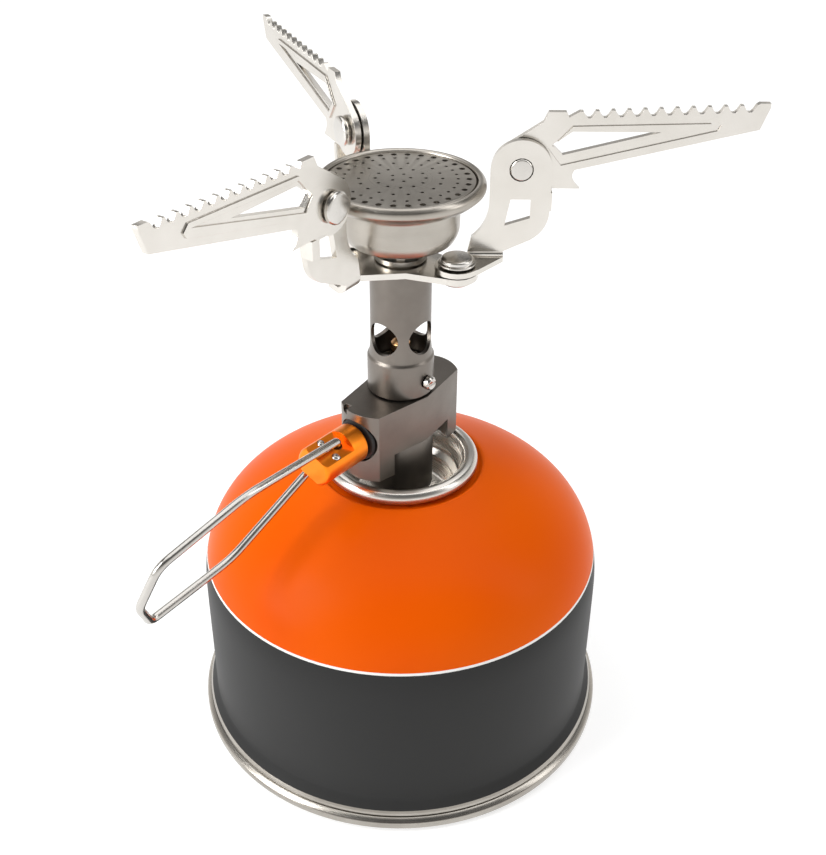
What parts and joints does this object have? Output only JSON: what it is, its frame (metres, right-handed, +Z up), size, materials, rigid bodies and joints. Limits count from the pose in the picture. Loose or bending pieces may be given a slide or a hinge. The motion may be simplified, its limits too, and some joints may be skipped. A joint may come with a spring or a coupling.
{
  "type": "camping stove",
  "caption": "Canister-top gas stove with folding serrated pot supports, a wire-handled valve knob and a screw-on gas cartridge.",
  "frame": {"origin": "on the surface the cartridge stands on, under the middle of the whole stove's extent in x and y", "axes": "+Z up along the cartridge's axis, which stands at x -9.21 mm, y -2.15 mm; +X towards the right-hand pot support, +Y away from the viewer"},
  "size_m": [0.1106, 0.1116, 0.138],
  "materials": {
    "orange_paint": "gloss enamel over drawn steel",
    "seam_steel": "tinned, satin",
    "cup_steel": "bright, drawn",
    "grey_metal": "fine satin, dark grey",
    "orange_anodised": "satin anodised",
    "arm_steel": "stamped stainless, satin",
    "rivet_steel": "polished stainless",
    "burner_steel": "spun stainless, satin",
    "wire_steel": "drawn stainless wire",
    "brass": "machined",
    "rubber": "matt black",
    "valve_plastic": "natural white"
  },
  "bodies": {
    "cartridge": {"cartridge_shell": "orange_paint", "cartridge_base": "seam_steel", "valve_cup": "cup_steel", "valve_housing": "valve_plastic", "stem_gasket": "rubber"},
    "stem": {"valve_stem": "valve_plastic", "valve_spring": "wire_steel"},
    "inlet_seal": {"inlet_o_ring": "rubber"},
    "stove": {"valve_block": "grey_metal", "inlet_collar": "grey_metal", "depressor_pin": "brass", "inlet_filter": "brass", "gland_ring": "rubber", "jet": "brass", "mixing_tube": "grey_metal", "tube_screw": "rivet_steel", "support_plate": "arm_steel", "right_swing_rivet": "rivet_steel", "rear_swing_rivet": "rivet_steel", "left_pivot_rivet": "rivet_steel", "burner_neck": "burner_steel", "burner_bowl": "burner_steel", "burner_gauze": "burner_steel", "burner_plate": "burner_steel"},
    "knob": {"control_knob": "orange_anodised", "detent_pin_a": "rivet_steel", "detent_pin_b": "rivet_steel", "needle_spindle": "brass", "spindle_o_ring": "rubber"},
    "wire": {"wire_handle": "wire_steel"},
    "right_support": {"right_bracket": "arm_steel", "right_pivot_rivet": "rivet_steel"},
    "rear_support": {"rear_bracket": "arm_steel", "rear_pivot_rivet": "rivet_steel"},
    "right_pot_arm": {"right_arm": "arm_steel"},
    "rear_pot_arm": {"rear_arm": "arm_steel"},
    "left_pot_arm": {"left_arm": "arm_steel"}
  },
  "joints": [
    {"name": "stove_lift", "type": "slide", "parent": "cartridge", "child": "inlet_seal", "axis": [0, 0, 1], "range_m": [0, 0.00273]},
    {"name": "stove_unscrew", "type": "hinge", "parent": "inlet_seal", "child": "stove", "pos_m": [-0.00921, -0.00215, 0.06], "axis": [0, 0, 1], "range_deg": [0, 1080]},
    {"name": "valve_stem_rise", "type": "slide", "parent": "cartridge", "child": "stem", "axis": [0, 0, 1], "range_m": [0, 0.0012], "deforming": ["valve_spring"]},
    {"name": "knob_turn", "type": "hinge", "parent": "stove", "child": "knob", "pos_m": [-0.02207, -0.01747, 0.074], "axis": [-0.6428, -0.766, 0], "range_deg": [0, 720]},
    {"name": "wire_fold", "type": "hinge", "parent": "knob", "child": "wire", "pos_m": [-0.0222, -0.01762, 0.074], "axis": [-0.262, 0.2198, -0.9397], "range_deg": [0, 90]},
    {"name": "right_bracket_swing", "type": "hinge", "parent": "stove", "child": "right_support", "pos_m": [0.00109, -0.00793, 0.1085], "axis": [0, 0, -1], "range_deg": [0, 90]},
    {"name": "rear_bracket_swing", "type": "hinge", "parent": "stove", "child": "rear_support", "pos_m": [-0.01746, 0.0054, 0.1085], "axis": [0, 0, 1], "range_deg": [0, 90]},
    {"name": "right_arm_fold", "type": "hinge", "parent": "right_support", "child": "right_pot_arm", "pos_m": [0.0124, -0.00178, 0.1261], "axis": [-0.0175, -0.9998, 0], "range_deg": [0, 90]},
    {"name": "rear_arm_fold", "type": "hinge", "parent": "rear_support", "child": "rear_pot_arm", "pos_m": [-0.01936, 0.01694, 0.1261], "axis": [0.8988, 0.4384, 0], "range_deg": [0, 90]},
    {"name": "left_arm_fold", "type": "hinge", "parent": "stove", "child": "left_pot_arm", "pos_m": [-0.02099, -0.02027, 0.1261], "axis": [-0.8192, 0.5736, 0], "range_deg": [0, 90]}
  ],
  "couplings": [
    {"joint": "stove_lift", "follows": "stove_unscrew", "m_per_rad": 0.00014435},
    {"joint": "valve_stem_rise", "follows": "stove_unscrew", "m_per_rad": 0.000063662}
  ]
}
